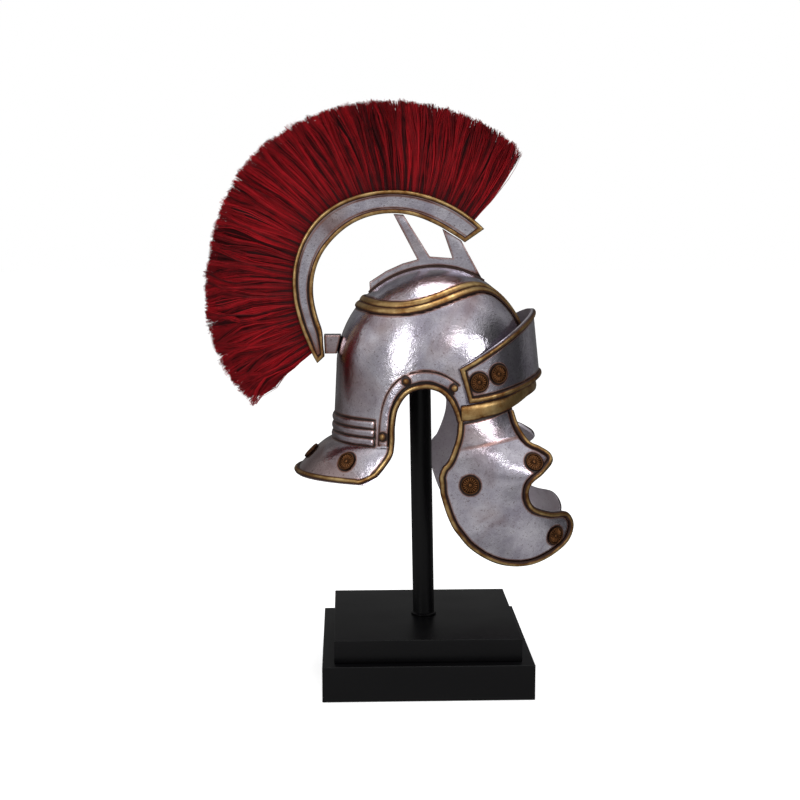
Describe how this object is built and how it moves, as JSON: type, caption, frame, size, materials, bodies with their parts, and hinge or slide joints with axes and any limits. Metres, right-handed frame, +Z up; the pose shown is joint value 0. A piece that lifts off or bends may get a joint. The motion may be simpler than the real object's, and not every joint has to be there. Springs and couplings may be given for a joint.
{
  "type": "roman legionary helmet on display stand",
  "caption": "Roman legionary helmet with brow guard, cheek guards, flared neck guard and red hair crest, held on a black two-step display stand.",
  "frame": {"origin": "centre of the stand's underside, on the floor", "axes": "+Z up, +X the way the face looks, +Y the wearer's left; the helmet and stand are mirror images about the XZ plane"},
  "size_m": [0.4434, 0.25, 0.6991],
  "materials": {
    "stand_black": "satin black paint on board",
    "post_black": "satin black paint",
    "silver_leaf": "worn silver leaf, antiqued brown in the recesses",
    "gold_paint": "rubbed gold with brown in the recesses",
    "dark_bronze": "dull dark bronze",
    "crest_hair": "dyed red hair, soft sheen"
  },
  "bodies": {
    "root": {"base_lower": "stand_black", "base_upper": "stand_black", "post": "post_black", "helmet_bowl": "silver_leaf", "neck_guard": "silver_leaf", "rim_edging": "gold_paint", "front_rim_strip": "gold_paint", "brow_guard": "silver_leaf", "brow_edging": "gold_paint", "crest_saddle": "silver_leaf", "rear_stay": "silver_leaf", "crest_channel": "silver_leaf", "ear_strip_right": "silver_leaf", "ear_strip_left": "silver_leaf", "crown_ridge_right": "gold_paint", "crown_ridge_left": "gold_paint", "cheek_guard_right": "silver_leaf", "cheek_guard_left": "silver_leaf", "cheek_edging_right": "gold_paint", "cheek_edging_left": "gold_paint", "rivet_1_right": "gold_paint", "rivet_1_left": "gold_paint", "rivet_2_right": "gold_paint", "rivet_2_left": "gold_paint", "rivet_3_right": "gold_paint", "rivet_3_left": "gold_paint", "cheek_rosette_1_right": "dark_bronze", "cheek_rosette_1_left": "dark_bronze", "cheek_rosette_2_right": "dark_bronze", "cheek_rosette_2_left": "dark_bronze", "cheek_rosette_3_right": "dark_bronze", "cheek_rosette_3_left": "dark_bronze", "brow_rosette_1_right": "dark_bronze", "brow_rosette_1_left": "dark_bronze", "brow_rosette_2_right": "dark_bronze", "brow_rosette_2_left": "dark_bronze", "guard_rosette_1": "dark_bronze", "guard_rosette_2": "dark_bronze", "guard_rosette_3": "dark_bronze", "crest_border_right": "gold_paint", "crest_border_left": "gold_paint", "crest_hair_1": "crest_hair", "crest_hair_2": "crest_hair", "crest_hair_3": "crest_hair", "crest_hair_4": "crest_hair", "crest_hair_5": "crest_hair", "crest_hair_6": "crest_hair", "crest_hair_7": "crest_hair", "crest_hair_8": "crest_hair", "crest_hair_9": "crest_hair"}
  },
  "joints": []
}
